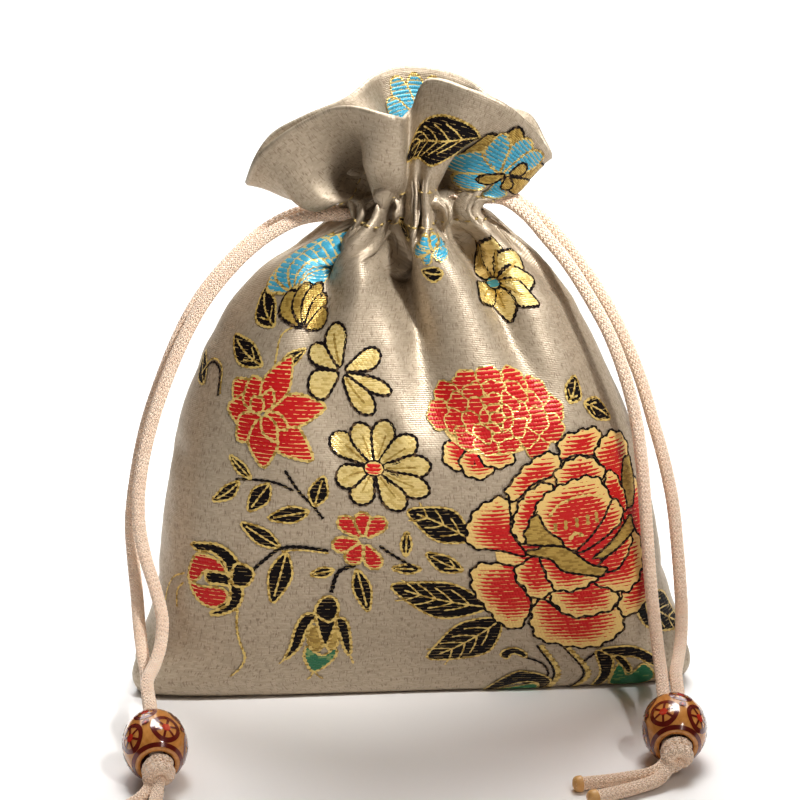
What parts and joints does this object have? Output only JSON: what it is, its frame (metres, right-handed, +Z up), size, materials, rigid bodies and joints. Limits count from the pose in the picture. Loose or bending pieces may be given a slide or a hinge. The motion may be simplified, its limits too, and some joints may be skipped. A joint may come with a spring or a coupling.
{
  "type": "drawstring pouch",
  "caption": "Small gathered drawstring pouch of patterned satin, drawn shut and standing upright, with a braided cord and a sliding wooden bead at each side of its neck.",
  "frame": {"origin": "middle of the base the pouch stands on", "axes": "+Z up, front face towards -Y, width along X"},
  "size_m": [0.1216, 0.0869, 0.1287],
  "materials": {
    "satin": "champagne satin brocade with woven flowers in red, gold, black and blue",
    "cord": "cream braided satin cord",
    "bead": "gloss lacquered wood with maroon printed wheels and squares"
  },
  "bodies": {
    "pouch": {"pouch_cloth": "satin", "left_drawcord": "cord", "left_knot": "cord", "right_drawcord": "cord", "right_knot": "cord"},
    "left_bead": {"left_bead": "bead"},
    "right_bead": {"right_bead": "bead"}
  },
  "joints": [
    {"name": "left_bead_slide", "type": "slide", "parent": "pouch", "child": "left_bead", "axis": [-0.1201, 0.9607, 0.2502], "range_m": [0, 0.01]},
    {"name": "right_bead_slide", "type": "slide", "parent": "pouch", "child": "right_bead", "axis": [0.05, 0.9695, 0.2399], "range_m": [0, 0.01]}
  ]
}
